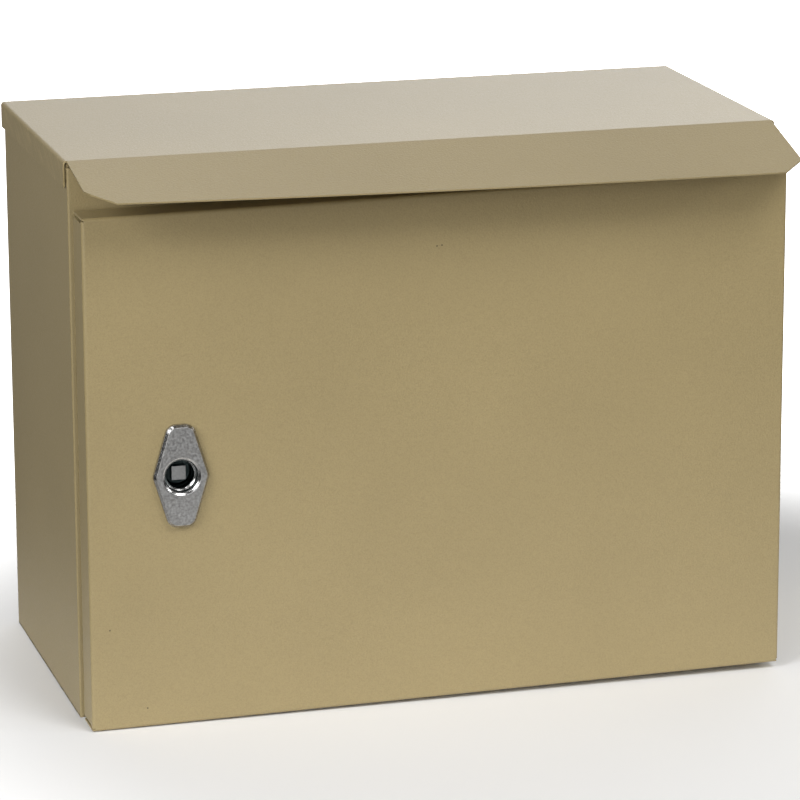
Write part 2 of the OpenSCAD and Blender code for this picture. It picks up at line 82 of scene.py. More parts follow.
def noise(add, place, scale, detail):
    """A soft random pattern; the scale is about how many lumps there are to the metre."""
    return add("ShaderNodeTexNoise", [(place, "Vector")], scale=scale, detail=detail).outputs["Fac"]


def roughen(add, tree, shader, pattern, strength, height):
    """Lets a pattern stand out of the surface by a height in metres."""
    bump = add("ShaderNodeBump", [(pattern, "Height")], strength=strength, distance=height)
    tree.links.new(bump.outputs["Normal"], shader.inputs["Normal"])


def toned(colour, factor):
    """The colour made darker or lighter."""
    return tuple(factor * c for c in colour)


KHAKI = (0.345, 0.272, 0.136)


def powder_coat(name):
    """Khaki powder coat with orange peel, faint cloudiness and a satin gloss."""
    material, tree, shader, place, add = blank_material(name)
    cloud = noise(add, place, 9.0, 3.0)
    peel = noise(add, place, 900.0, 2.0)
    grain = noise(add, place, 1500.0, 2.0)
    tone = ramp(add, cloud, [(0.3, toned(KHAKI, 0.965)), (0.7, toned(KHAKI, 1.03))])
    speckle = ramp(add, grain, [(0.32, (0.92, 0.91, 0.90)), (0.5, (1.0, 1.0, 1.0)),
                                (0.68, (1.05, 1.05, 1.04))])
    mix = add("ShaderNodeMix", data_type="RGBA", blend_type="MULTIPLY")
    mix.inputs["Factor"].default_value = 1.0
    tree.links.new(tone, mix.inputs["A"])
    tree.links.new(speckle, mix.inputs["B"])
    tree.links.new(mix.outputs["Result"], shader.inputs["Base Color"])
    gloss = add("ShaderNodeMapRange", [(peel, "Value")], to_min=0.36, to_max=0.46)
    tree.links.new(gloss.outputs["Result"], shader.inputs["Roughness"])
    roughen(add, tree, shader, peel, 1.0, 0.00018)
    return material, tree, shader, place, add


def coat_node(name, material):
    """Gives a piece that is shown as the solid itself its material."""
    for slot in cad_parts[name].material_slots:
        slot.material = material


def shift(piece, move):
    """Moves each vertex, in edit mode, to where the given function puts it."""
    mesh = bmesh.from_edit_mesh(piece.data)
    for vert in mesh.verts:
        vert.co = move(vert.co.copy())
    bmesh.update_edit_mesh(piece.data)


def modify(piece, kind, **settings):
    """Adds a modifier with these settings and applies it."""
    bpy.ops.object.modifier_add(type=kind)
    modifier = piece.modifiers[-1]
    for key, value in settings.items():
        setattr(modifier, key, value)
    bpy.ops.object.modifier_apply(modifier=modifier.name)


def keep_flats(piece, angle):
    """Shades bends up to this angle smooth and keeps the flats beside them flat."""
    bpy.ops.object.shade_smooth_by_angle(angle=math.radians(angle))
    modify(piece, "WEIGHTED_NORMAL", weight=80, keep_sharp=True)


def fit(piece, material, body, slot, *nodes):
    """Coats a finished piece and hangs it on its body."""
    piece.data.materials.clear()
    piece.data.materials.append(material)
    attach(piece, body)
    if nodes:
        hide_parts(*nodes)


paint = powder_coat("khaki_coat")[0]
for name in ("front_frame", "upper_hinge_body_leaf", "upper_hinge_door_leaf",
             "lower_hinge_body_leaf", "lower_hinge_door_leaf"):
    coat_node(name, paint)

NEAR, MERGE = 1e-5, 1e-6
body_half, body_front, body_low, body_high = 0.2, -0.182, -0.155, 0.156
wide_r, tight_r = 0.002, 0.0009
flange_from, flange_reach = 89.0, 1.1
stand_out = {"low": 0.0003, "high": 0.0007}


def as_folded(v):
    """Where a point of the wrap goes: tight front bends, and a left side that stands out towards its top."""
    x, y = abs(v.x) - (body_half - wide_r), body_front + wide_r - v.y
    bent = math.degrees(math.atan2(y, x))
    on_bend = min(x, y) > -MERGE and abs(math.hypot(x, y) - wide_r) < NEAR
    if on_bend and bent < flange_from:
        bent = math.radians(min(90.0, bent * flange_reach))
        v.x = math.copysign(body_half - tight_r + tight_r * math.cos(bent), v.x)
        v.y = body_front + tight_r - tight_r * math.sin(bent)
    share = (v.z - body_low) / (body_high - body_low)
    out = stand_out["low"] * (1.0 - share) + stand_out["high"] * share
    v.x -= out * min(1.0, max(0.0, (-v.x - body_half + wide_r) / wide_r))
    return v


for node, name in (("body_shell", "body_wrap"), ("base_plate", "base_sheet")):
    bpy.ops.object.select_all(action="DESELECT")
    sheet = bpy.data.objects.new(name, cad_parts[node].data.copy())
    bpy.context.collection.objects.link(sheet)
    sheet.data.name = name
    sheet.select_set(True)
    bpy.context.view_layer.objects.active = sheet
    bpy.ops.object.mode_set(mode="EDIT")
    bpy.ops.mesh.select_all(action="SELECT")
    bpy.ops.mesh.remove_doubles(threshold=MERGE)
    shift(sheet, as_folded)
    bpy.ops.mesh.normals_make_consistent(inside=False)
    bpy.ops.object.mode_set(mode="OBJECT")
    keep_flats(sheet, 40.0)
    fit(sheet, paint, "enclosure", "painted_sheet", node)


# ---- Roof ----
# One sheet folded into a flat roof with two side skirts and a sloping rain hood, its front corners cut
# away. The hood of this box has been leant on: it droops to the right and sags a little in the middle.

def start(add_primitive, name, **settings):
    """Adds a primitive with nothing else selected and opens it in edit mode."""
    bpy.ops.object.select_all(action="DESELECT")
    add_primitive(**settings)
    piece = bpy.context.object
    piece.name = name
    piece.data.name = name
    bpy.ops.object.transform_apply(location=True, rotation=True, scale=True)
    bpy.ops.object.mode_set(mode="EDIT")
    return piece


def pick(piece, kind, test):
    """Selects, in edit mode, vertices by place, edges by middle and run, or faces by middle and normal."""
    bpy.ops.mesh.select_all(action="DESELECT")
    bpy.ops.mesh.select_mode(type={"verts": "VERT", "edges": "EDGE", "faces": "FACE"}[kind])
    mesh = bmesh.from_edit_mesh(piece.data)
    for item in getattr(mesh, kind):
        if kind == "faces":
            chosen = test(item.calc_center_median(), item.normal)
        elif kind == "edges":
            chosen = test((item.verts[0].co + item.verts[1].co) / 2, item.verts[1].co - item.verts[0].co)
        else:
            chosen = test(item.co)
        if chosen:
            item.select_set(True)
    mesh.select_flush_mode()
    bmesh.update_edit_mesh(piece.data)


def close_sheet(piece, facing, thick):
    """Turns the sheet's normals outward and gives it its thickness, inward."""
    bpy.ops.mesh.select_all(action="SELECT")
    bpy.ops.mesh.remove_doubles(threshold=NEAR)
    bpy.ops.mesh.normals_make_consistent(inside=False)
    if facing(max(bmesh.from_edit_mesh(piece.data).faces, key=lambda f: f.calc_area())) < 0:
        bpy.ops.mesh.flip_normals()
    bpy.ops.object.mode_set(mode="OBJECT")
    modify(piece, "SOLIDIFY", thickness=thick, offset=-1.0)


def cut_away(piece, tool):
    """Cuts the tool's form out of the piece and removes the tool."""
    bpy.ops.object.select_all(action="DESELECT")
    piece.select_set(True)
    bpy.context.view_layer.objects.active = piece
    modify(piece, "BOOLEAN", operation="DIFFERENCE", solver="EXACT", object=tool)
    bpy.data.objects.remove(tool)


def finish_sheet(piece, edge_r=0.0004):
    """Rounds the coated cut edges and keeps the flats flat beside the folds."""
    modify(piece, "BEVEL", width=edge_r, segments=3, limit_method="ANGLE", angle_limit=math.radians(50))
    keep_flats(piece, 60.0)


def mapped(add, source, low, high, first, last):
    """The source taken smoothly from one span to another and held at the ends."""
    return add("ShaderNodeMapRange", [(source, "Value")], interpolation_type="SMOOTHSTEP",
               from_min=low, from_max=high, to_min=first, to_max=last).outputs["Result"]


def times(add, first, second):
    """The product of two values."""
    return add("ShaderNodeMath", [(first, 0), (second, 1)], operation="MULTIPLY").outputs[0]


def blended(add, tree, first, second, share):
    """The first colour where the share is 0 and the second where it is 1."""
    node = add("ShaderNodeMix", data_type="RGBA")
    for source, socket in ((share, 0), (first, 6), (second, 7)):
        tree.links.new(source, node.inputs[socket])
    return node.outputs[2]


roof_sheet = 0.0009
fold_r, hood_fold_r = 0.002, 0.0005
roof_half, roof_top, roof_front = 0.2022, 0.1572, -0.179
skirt_drop = 0.0145
hood_len, hood_slope = 0.0645, 11.5
hood_lean = {"left": -2.0, "right": 3.45}
hood_sag = 0.0012
hood_strips = [0.02 * n for n in range(-9, 10)]
left_cut = ((0.2002, 0.0454), (0.1971, 0.0511), (0.1862, hood_len))
right_cut = ((0.2002, 0.0492), (0.1988, 0.0520), (0.1862, hood_len))

roof = start(bpy.ops.mesh.primitive_plane_add, "roof_sheet", size=1.0,
             location=(0.0, roof_front / 2, roof_top))
bpy.ops.transform.resize(value=(2 * roof_half, -roof_front, 1.0))
for side in (-1, 1):
    pick(roof, "edges", lambda c, d: abs(c.x - side * roof_half) < NEAR and abs(c.z - roof_top) < NEAR)
    bpy.ops.mesh.extrude_edges_move(TRANSFORM_OT_translate={"value": (0.0, 0.0, -skirt_drop)})
pick(roof, "edges", lambda c, d: abs(abs(c.x) - roof_half) < NEAR and abs(c.z - roof_top) < NEAR)
bpy.ops.mesh.bevel(offset=fold_r, segments=5, affect="EDGES")
pick(roof, "edges", lambda c, d: abs(c.x) < NEAR and abs(c.y - roof_front) < NEAR)
slope = math.radians(hood_slope)
bpy.ops.mesh.extrude_edges_move(TRANSFORM_OT_translate={
    "value": (0.0, -hood_len * math.cos(slope), -hood_len * math.sin(slope))})


def on_hood(x, along):
    """A place on the hood as it was folded: across the box, and down the slope from the bend."""
    return Vector((x, roof_front - along * math.cos(slope), roof_top - along * math.sin(slope)))


for side, cut in ((-1, left_cut), (1, right_cut)):
    for (x0, along0), (x1, along1) in zip(cut, cut[1:]):
        a, b = on_hood(side * x0, along0), on_hood(side * x1, along1)
        cut_off = (b - a).cross(Vector((0.0, -math.sin(slope), math.cos(slope)))).normalized()
        if cut_off.x * side < 0:
            cut_off = -cut_off
        pick(roof, "faces", lambda c, n: c.y < roof_front - NEAR)
        bpy.ops.mesh.bisect(plane_co=a, plane_no=cut_off, clear_outer=True)
for x in hood_strips:
    pick(roof, "faces", lambda c, n: c.y < roof_front - NEAR)
    bpy.ops.mesh.bisect(plane_co=(x, 0.0, 0.0), plane_no=(1.0, 0.0, 0.0))


def lean(v):
    """Where a point of the hood goes: turned further down towards the right, and sagging in the middle."""
    along = (roof_front - v.y) / math.cos(slope)
    if along < NEAR:
        return v
    share = (v.x / roof_half + 1.0) / 2.0
    bent = math.radians(hood_slope + hood_lean["left"] * (1.0 - share) + hood_lean["right"] * share)
    sag = hood_sag * (1.0 - (v.x / roof_half) ** 2) * along / hood_len
    return Vector((v.x, roof_front - along * math.cos(bent), roof_top - along * math.sin(bent) - sag))


shift(roof, lean)
pick(roof, "edges", lambda c, d: abs(c.y - roof_front) < NEAR and abs(c.z - roof_top) < NEAR
     and abs(d.x) > NEAR)
bpy.ops.mesh.bevel(offset=hood_fold_r, segments=2, affect="EDGES")
close_sheet(roof, lambda face: face.normal.z, roof_sheet)
finish_sheet(roof)

# Paler diagonal streaks, blended into the colour of the left skirt's outer face.
pale_streak_turn, pale_streak_size = math.radians(30.0), (1.0, 0.018, 0.0011)
material, tree, shader, place, add = powder_coat("roof_coat")
under = shader.inputs["Base Color"].links[0].from_socket
brushed = add("ShaderNodeMapping", [(place, "Vector")], vector_type="TEXTURE")
brushed.inputs["Rotation"].default_value = (pale_streak_turn, 0.0, 0.0)
brushed.inputs["Scale"].default_value = pale_streak_size
pale_streak = noise(add, brushed.outputs["Vector"], 1.0, 2.0)
pale = ramp(add, pale_streak, [(0.3, toned(KHAKI, 1.22)), (0.7, toned(KHAKI, 1.32))])
across = add("ShaderNodeSeparateXYZ", [(place, "Vector")]).outputs["X"]
on_skirt = mapped(add, across, 0.0003 - roof_half, 0.0007 - roof_half, 1.0, 0.0)
pale_streaked = times(add, on_skirt, mapped(add, pale_streak, 0.50, 0.66, 0.0, 0.75))
tree.links.new(blended(add, tree, under, pale, pale_streaked), shader.inputs["Base Color"])
fit(roof, material, "enclosure", "painted_sheet", "roof_hood")


# ---- Door ----
# One sheet folded into a shallow pan: a flat front and four returns, each bent on its own. The corners are
# left open, so a dark slit shows at each of them. The lock sits in a round hole. This door has dropped at
# the lock side, so it hangs crooked.
door_left, door_right, door_low, door_high = -0.1990, 0.1992, -0.1549, 0.1314
door_front, door_back = -0.209, -0.1872
door_fold, door_sheet = 0.0018, 0.0012
door_rise = 0.0037
corner_gap = 0.0003
side_short = {"front": 0.0014, "back": 0.0009}
lock_x, lock_z = -0.1475, -0.013
barrel_r, hole_clear, through = 0.011, 0.0002, 0.01

door = start(bpy.ops.mesh.primitive_plane_add, "door_pan", size=1.0, rotation=(math.pi / 2, 0.0, 0.0),
             location=((door_left + door_right) / 2, door_front, (door_low + door_high) / 2))
bpy.ops.transform.resize(value=(door_right - door_left - 2 * door_fold, 1.0,
                                door_high - door_low - 2 * door_fold))
for test, bend, axis in (
        (lambda c: c.x < door_left + 2 * door_fold, (door_left + door_fold, 0.0), (0.0, 0.0, 1.0)),
        (lambda c: c.x > door_right - 2 * door_fold, (door_right - door_fold, 0.0), (0.0, 0.0, -1.0)),
        (lambda c: c.z < door_low + 2 * door_fold, (0.0, door_low + door_fold), (-1.0, 0.0, 0.0)),
        (lambda c: c.z > door_high - 2 * door_fold, (0.0, door_high - door_fold), (1.0, 0.0, 0.0))):
    pick(door, "edges", lambda c, d: test(c) and abs(c.y - door_front) < NEAR)
    bpy.ops.mesh.spin(steps=6, angle=math.pi / 2, axis=axis,
                      center=(bend[0], door_front + door_fold, bend[1]))
    pick(door, "edges", lambda c, d: test(c) and abs(c.y - door_front - door_fold) < NEAR
         and abs(d.y) < NEAR)
    for depth in (door_fold, door_back - door_front - 2 * door_fold):
        bpy.ops.mesh.extrude_edges_move(TRANSFORM_OT_translate={"value": (0.0, depth, 0.0)})


def close_corners(v):
    """The returns' ends: the top and bottom ones run out to the corner, the side ones stop short of it."""
    rise = max(v.z - door_high, door_low - v.z) + door_fold
    if rise > NEAR:
        reach = max(0.0, rise - corner_gap)
        return Vector((v.x + math.copysign(reach, v.x), v.y, v.z))
    if v.y < door_front + 1.5 * door_fold:
        return v
    share = (v.y - door_front) / (door_back - door_front)
    short = side_short["front"] * (1.0 - share) + side_short["back"] * share
    return Vector((v.x, v.y, v.z - math.copysign(short, v.z)))


shift(door, close_corners)


def hang(v):
    """Where a point of the door goes: the door has dropped at the lock side, so it hangs crooked."""
    return Vector((v.x, v.y, v.z + door_rise * (v.x - door_left) / (door_right - door_left)))


shift(door, hang)
close_sheet(door, lambda face: -face.normal.y, door_sheet)
door_hole = start(bpy.ops.mesh.primitive_cylinder_add, "lock_hole", vertices=64,
                  radius=barrel_r + hole_clear, depth=through,
                  location=(lock_x, door_front, lock_z), rotation=(math.pi / 2, 0.0, 0.0))
bpy.ops.object.mode_set(mode="OBJECT")
cut_away(door, door_hole)
finish_sheet(door)

specks = ((-0.0029, 0.1045), (-0.0001, 0.1048), (-0.1882, -0.0976), (-0.1681, -0.1438))
speck_r = 0.0005
material, tree, shader, place, add = powder_coat("door_coat")
under = shader.inputs["Base Color"].links[0].from_socket
nearest = None
for x, z in specks:
    gap = add("ShaderNodeVectorMath", [(place, 0)], operation="DISTANCE")
    gap.inputs[1].default_value = (x, door_front, z)
    gap = gap.outputs["Value"]
    nearest = gap if nearest is None else add(
        "ShaderNodeMath", [(nearest, 0), (gap, 1)], operation="MINIMUM").outputs[0]
soil = ramp(add, nearest, [(0.0, (0.05, 0.04, 0.025)), (speck_r, (0.12, 0.095, 0.05))])
spoilt = mapped(add, nearest, 0.5 * speck_r, 1.4 * speck_r, 0.8, 0.0)
tree.links.new(blended(add, tree, under, soil, spoilt), shader.inputs["Base Color"])
fit(door, material, "door", "painted_sheet", "door_panel")


# ---- Lock casting ----
# One zinc die casting: a bevelled lozenge plate with a flared key socket, and a threaded barrel with two
# flats behind the door. It is tumbled, so its grainy faces end in bright rounded edges.
lock_axis = (lock_x, lock_z)
plate_flat, plate_face, plate_bevel, plate_edge_r = -0.2114, -0.213, 0.0015, 0.00012
plate_wide, plate_high, plate_end = 0.01575, 0.02875, 0.007
end_corner_r, side_corner_r = 0.0044, 0.0014
collar_r, socket_r, step_front, step_back = 0.01125, 0.0095, -0.2090, -0.2080
socket_floor, barrel_front, barrel_end, barrel_flat = -0.1977, -0.2110, -0.189, 0.010


def along_axis(add, place, axis):
    """How far a point lies from a line along Y, and where along it."""
    offset = add("ShaderNodeVectorMath", [(place, 0)], operation="SUBTRACT")
    offset.inputs[1].default_value = (axis[0], 0.0, axis[1])
    across = add("ShaderNodeVectorMath", [(offset.outputs["Vector"], 0)], operation="MULTIPLY")
    across.inputs[1].default_value = (1.0, 0.0, 1.0)
    reach = add("ShaderNodeVectorMath", [(across.outputs["Vector"], 0)], operation="LENGTH")
    return reach.outputs["Value"], add("ShaderNodeSeparateXYZ", [(place, "Vector")]).outputs["Y"]


def zinc_casting(name):
    """Tumbled zinc: a mottled matte face, polished edges, and a key socket painted dark as shade, apart from
    its step ring.
    """
    material, tree, shader, place, add = blank_material(name)
    cloud = noise(add, place, 760.0, 4.0)
    grain = noise(add, place, 2200.0, 3.0)
    reach, depth = along_axis(add, place, lock_axis)
    # Painted shade: inside the socket, the walls behind the plate's flat and off the step ring are coloured
    # dark teal-grey.
    in_socket = times(add, mapped(add, depth, plate_flat - 0.0004, plate_flat + 0.0004, 0.0, 1.0),
                      mapped(add, reach, socket_r - 0.0003, socket_r + 0.0003, 1.0, 0.0))
    behind_step = mapped(add, depth, step_back - 0.0002, step_back + 0.0002, 0.0, 1.0)
    before_step = mapped(add, depth, step_front - 0.0002, step_front + 0.0002, 1.0, 0.0)
    off_step = add("ShaderNodeMath", [(behind_step, 0), (before_step, 1)], operation="MAXIMUM").outputs[0]
    painted_socket_shade = times(add, in_socket, off_step)
    bare = ramp(add, cloud, [(0.32, (0.33, 0.323, 0.316)), (0.68, (0.53, 0.53, 0.524))])
    recess_shade_colour = ramp(add, cloud, [(0.3, (0.045, 0.062, 0.062)), (0.7, (0.09, 0.115, 0.115))])
    tree.links.new(blended(add, tree, bare, recess_shade_colour, painted_socket_shade), shader.inputs["Base Color"])
    shader.inputs["Metallic"].default_value = 1.0
    from_face = add("ShaderNodeMath", [(depth, 0)], operation="SUBTRACT")
    from_face.inputs[1].default_value = plate_face
    off_face = add("ShaderNodeMath", [(from_face.outputs[0], 0)], operation="ABSOLUTE").outputs[0]
    matte = mapped(add, off_face, 0.00004, 0.00025, 0.46, 0.20)
    uneven = mapped(add, cloud, 0.3, 0.7, 0.85, 1.15)
    tree.links.new(times(add, matte, uneven), shader.inputs["Roughness"])
    roughen(add, tree, shader, grain, 0.5, 0.00008)
    return material


def turned(name, axis, rings, steps=64):
    """A turned form: a circle stepped out along Y through (radius, y) rings and left open at both ends."""
    radius, y = rings[0]
    piece = start(bpy.ops.mesh.primitive_circle_add, name, vertices=steps, radius=radius,
                  location=(axis[0], y, axis[1]), rotation=(math.pi / 2, 0.0, 0.0))
    bpy.ops.mesh.select_all(action="SELECT")
    for wide, along in rings[1:]:
        bpy.ops.mesh.extrude_edges_move(TRANSFORM_OT_translate={"value": (0.0, along - y, 0.0)})
        bpy.ops.transform.resize(value=(wide / radius, 1.0, wide / radius),
                                 center_override=(axis[0], along, axis[1]))
        radius, y = wide, along
    return piece


def thread_rings(radius, groove, first, step, count):
    """The rings of a thread along Y, by turns on its crest and in its groove."""
    return [(radius - (groove if n % 2 else 0.0), first + step * n) for n in range(count)]


def face_out(angle=30.0):
    """Joins the open form's meeting rings, closes its poles, turns its faces out and leaves corners crisp."""
    bpy.ops.mesh.select_all(action="SELECT")
    bpy.ops.mesh.remove_doubles(threshold=2 * MERGE)
    bpy.ops.mesh.fill_holes(sides=0)
    bpy.ops.mesh.select_all(action="SELECT")
    bpy.ops.mesh.normals_make_consistent(inside=False)
    bpy.ops.object.mode_set(mode="OBJECT")
    bpy.ops.object.shade_smooth_by_angle(angle=math.radians(angle))


def join(main, *others):
    """Makes several forms one piece."""
    bpy.ops.object.select_all(action="DESELECT")
    for part in (main, *others):
        part.select_set(True)
    bpy.context.view_layer.objects.active = main
    bpy.ops.object.join()


lozenge = ((plate_end, plate_high), (plate_wide, 0.0), (plate_end, -plate_high),
           (-plate_end, -plate_high), (-plate_wide, 0.0), (-plate_end, plate_high))
plate = start(bpy.ops.mesh.primitive_circle_add, "lock_casting", vertices=6, radius=plate_wide,
              fill_type="NGON", location=(lock_x, door_front, lock_z), rotation=(math.pi / 2, 0.0, 0.0))
mesh = bmesh.from_edit_mesh(plate.data)
round_order = sorted(mesh.verts, key=lambda v: -math.atan2(v.co.z - lock_z, v.co.x - lock_x))
corner_order = sorted(lozenge, key=lambda c: -math.atan2(c[1], c[0]))
for vert, (x, z) in zip(round_order, corner_order):
    vert.co = (lock_x + x, door_front, lock_z + z)
bmesh.update_edit_mesh(plate.data)
for test, corner_r in ((lambda v: abs(v.z - lock_z) > plate_high / 2, end_corner_r),
                       (lambda v: abs(v.z - lock_z) < plate_high / 2, side_corner_r)):
    pick(plate, "verts", test)
    bpy.ops.mesh.bevel(offset=corner_r, offset_type="OFFSET", segments=5, affect="VERTICES")
pick(plate, "faces", lambda c, n: True)
bpy.ops.mesh.extrude_region_move(TRANSFORM_OT_translate={"value": (0.0, plate_flat - door_front, 0.0)})
pick(plate, "faces", lambda c, n: abs(c.y - plate_flat) < NEAR)
bpy.ops.mesh.inset(thickness=plate_bevel, depth=plate_flat - plate_face)
bpy.ops.mesh.select_all(action="DESELECT")
bpy.ops.mesh.select_mode(type="EDGE")
bpy.ops.mesh.select_non_manifold(extend=False)
bpy.ops.mesh.edge_face_add()
bpy.ops.mesh.select_all(action="SELECT")
bpy.ops.mesh.normals_make_consistent(inside=False)
bpy.ops.object.mode_set(mode="OBJECT")
modify(plate, "BEVEL", width=plate_edge_r, segments=2, limit_method="ANGLE", angle_limit=math.radians(15))
bore = start(bpy.ops.mesh.primitive_cylinder_add, "plate_bore", vertices=64, radius=barrel_r + hole_clear,
             depth=2 * through, location=(lock_x, plate_face, lock_z), rotation=(math.pi / 2, 0.0, 0.0))
bpy.ops.object.mode_set(mode="OBJECT")
cut_away(plate, bore)
keep_flats(plate, 50.0)

collar = [(barrel_r, barrel_front), (collar_r, -0.2120), (collar_r, plate_face), (0.01095, plate_face)]
flare = [(0.01075, -0.21295), (0.01055, -0.21285), (0.00955, -0.2122), (0.0093, -0.21195),
         (0.0091, -0.2116), (0.0090, -0.2111), (0.00895, -0.2105)]
step = [(0.00895, -0.2091), (0.00885, -0.2089), (0.0087, -0.20875), (0.0079, -0.2082), (0.0078, step_back)]
floor_bore = [(0.0078, socket_floor), (0.00605, socket_floor), (0.00605, barrel_end), (0.0102, barrel_end)]
barrel_thread = thread_rings(barrel_r, 0.00055, barrel_end - 0.0012, -0.00065, 26)
barrel = turned("lock_barrel", lock_axis, [*collar, *flare, *step, *floor_bore, *barrel_thread, collar[0]])
face_out()
for vert in barrel.data.vertices:
    if vert.co.y > door_front:
        vert.co.z = min(max(vert.co.z, lock_z - barrel_flat), lock_z + barrel_flat)
join(plate, barrel)
fit(plate, zinc_casting("tumbled_zinc"), "door", "zinc_casting", "lock_plate")


# ---- Lock spindle ----
# Turned steel with a milled square for the key in front, a shoulder that rests on the socket's floor and a
# second square behind that drives the cam. The key square's front face is grey steel; all behind it is
# painted dark as shade.

def plated_steel(name, colour=(0.56, 0.56, 0.55), rough=0.34):
    """Zinc-plated steel: slightly uneven grey with fine machining grain."""
    material, tree, shader, place, add = blank_material(name)
    cloud = noise(add, place, 320.0, 3.0)
    grain = noise(add, place, 1900.0, 2.0)
    tree.links.new(ramp(add, cloud, [(0.3, toned(colour, 0.84)), (0.7, colour)]), shader.inputs["Base Color"])
    shader.inputs["Metallic"].default_value = 1.0
    gloss = add("ShaderNodeMapRange", [(grain, "Value")], to_min=rough - 0.08, to_max=rough + 0.08)
    tree.links.new(gloss.outputs["Result"], shader.inputs["Roughness"])
    roughen(add, tree, shader, grain, 0.3, 0.00005)
    return material


def square_bar(name, axis, front, back, width, edge):
    """A square bar along Y with rounded long edges and softened ends."""
    bar = start(bpy.ops.mesh.primitive_cube_add, name, size=width,
                location=(axis[0], (front + back) / 2, axis[1]))
    bpy.ops.transform.resize(value=(1.0, (back - front) / width, 1.0),
                             center_override=(axis[0], (front + back) / 2, axis[1]))
    bpy.ops.object.mode_set(mode="OBJECT")
    modify(bar, "BEVEL", width=edge, segments=3, limit_method="ANGLE")
    keep_flats(bar, 50.0)
    return bar


square_face, shoulder_front, shoulder_back, cam_front, cam_back = -0.2047, -0.1998, -0.1978, -0.1888, -0.1859
pole_r, shoulder_r, shank_r, shoulder_edge = 0.0001, 0.0072, 0.0060, 0.0004
square_wide, square_edge, square_root = 0.008, 0.0003, 0.0005
spindle = turned("lock_spindle_bar", lock_axis, [
    (pole_r, shoulder_front), (shoulder_r - shoulder_edge, shoulder_front),
    (shoulder_r, shoulder_front + shoulder_edge), (shoulder_r, shoulder_back),
    (shank_r, shoulder_back), (shank_r, cam_front), (pole_r, cam_front)])
face_out()
join(spindle,
     square_bar("key_square", lock_axis, square_face, shoulder_front + square_root, square_wide, square_edge),
     square_bar("cam_square", lock_axis, cam_front - square_root, cam_back, square_wide, square_edge))
material, tree, shader, place, add = blank_material("spindle_steel")
cloud = noise(add, place, 900.0, 3.0)
depth = add("ShaderNodeSeparateXYZ", [(place, "Vector")]).outputs["Y"]
worn = ramp(add, cloud, [(0.3, (0.44, 0.44, 0.44)), (0.7, (0.55, 0.55, 0.545))])
# Painted shade: the spindle is coloured dark everywhere behind the key square's front face.
recess_shade_colour = ramp(add, cloud, [(0.3, (0.05, 0.07, 0.07)), (0.7, (0.11, 0.14, 0.14))])
behind = mapped(add, depth, square_face + 0.0001, square_face + 0.0005, 0.0, 1.0)
tree.links.new(blended(add, tree, worn, recess_shade_colour, behind), shader.inputs["Base Color"])
shader.inputs["Metallic"].default_value = 1.0
tree.links.new(mapped(add, cloud, 0.3, 0.7, 0.42, 0.56), shader.inputs["Roughness"])
fit(spindle, material, "lock", "plated_steel", "lock_spindle")


# ---- Door seal ----
# A strip of black closed-cell foam glued to the door's inner face, cut to four lengths that butt at the
# corners; the rim of the opening presses into it.
seal_in, seal_out, seal_edge_r = 0.0047, 0.0053, 0.0012
butt_gap = 0.0001
seal_front, seal_back = -0.2078, -0.1971
rim_left, rim_right, rim_low, rim_high = -0.1786, 0.1786, -0.1336, 0.1086


def foam_strip(name, low, high):
    """One length of strip between two corners of its box, with soft edges."""
    middle = (low + high) / 2
    size = high - low
    strip = start(bpy.ops.mesh.primitive_cube_add, name, size=1.0, location=middle)
    bpy.ops.transform.resize(value=size, center_override=middle)
    bpy.ops.object.mode_set(mode="OBJECT")
    modify(strip, "BEVEL", width=seal_edge_r, segments=4, limit_method="ANGLE")
    bpy.ops.object.shade_smooth_by_angle(angle=math.radians(50))
    return strip


material, tree, shader, place, add = blank_material("black_foam")
cells = add("ShaderNodeTexVoronoi", [(place, "Vector")], scale=1400.0).outputs["Distance"]
tree.links.new(ramp(add, cells, [(0.1, (0.012, 0.012, 0.013)), (0.6, (0.045, 0.045, 0.047))]),
               shader.inputs["Base Color"])
shader.inputs["Roughness"].default_value = 0.9
roughen(add, tree, shader, cells, 0.6, 0.0003)
strips = [
    foam_strip("seal_top", Vector((rim_left - seal_out, seal_front, rim_high - seal_in)),
               Vector((rim_right + seal_out, seal_back, rim_high + seal_out))),
    foam_strip("seal_low", Vector((rim_left - seal_out, seal_front, rim_low - seal_out)),
               Vector((rim_right + seal_out, seal_back, rim_low + seal_in))),
    foam_strip("seal_left", Vector((rim_left - seal_out, seal_front, rim_low + seal_in + butt_gap)),
               Vector((rim_left + seal_in, seal_back, rim_high - seal_in - butt_gap))),
    foam_strip("seal_right", Vector((rim_right - seal_in, seal_front, rim_low + seal_in + butt_gap)),
               Vector((rim_right + seal_out, seal_back, rim_high - seal_in - butt_gap)))]
join(*strips)
seal = strips[0]
fit(seal, material, "door", "seal_foam", "door_seal")


# ---- Lock washer and lock nut ----
# A plain plated washer and a large die-cast hexagon nut, chamfered at both ends, clamp the casting's
# threaded barrel in the door.

def six_flats(axis, width):
    """The move that presses a turned form on a line along Y to a hexagon of this width across its flats."""
    def move(v):
        x, z = v.x - axis[0], v.z - axis[1]
        limit = width / 2 / math.cos(math.atan2(z, x) % (math.pi / 3) - math.pi / 6)
        scale = min(1.0, limit / math.hypot(x, z))
        return Vector((axis[0] + x * scale, v.y, axis[1] + z * scale))

    return move


def nut(name, axis, front, back, width, bore, groove=0.0004, pitch=0.0008):
    """A hexagon nut along Y: a turned, chamfered blank pressed to six flats, with a threaded bore."""
    end, corner = 0.47 * width, width / math.sqrt(3.0)
    chamfer = [((corner - end) * step / 4, 0.55 * (corner - end) * step / 4) for step in range(5)]
    turns = max(4, round((back - front) / pitch))
    rings = [(bore + groove, front)]
    rings += [(end + out, front + along) for out, along in chamfer]
    rings += [(end + out, back - along) for out, along in reversed(chamfer)]
    rings.append((bore + groove, back))
    for step in range(turns - 1, 0, -1):
        rings.append((bore + (groove if step % 2 else 0.0), front + (back - front) * step / turns))
    rings.append(rings[0])
    piece = turned(name, axis, rings, steps=96)
    shift(piece, six_flats(axis, width))
    face_out(angle=25.0)
    return piece


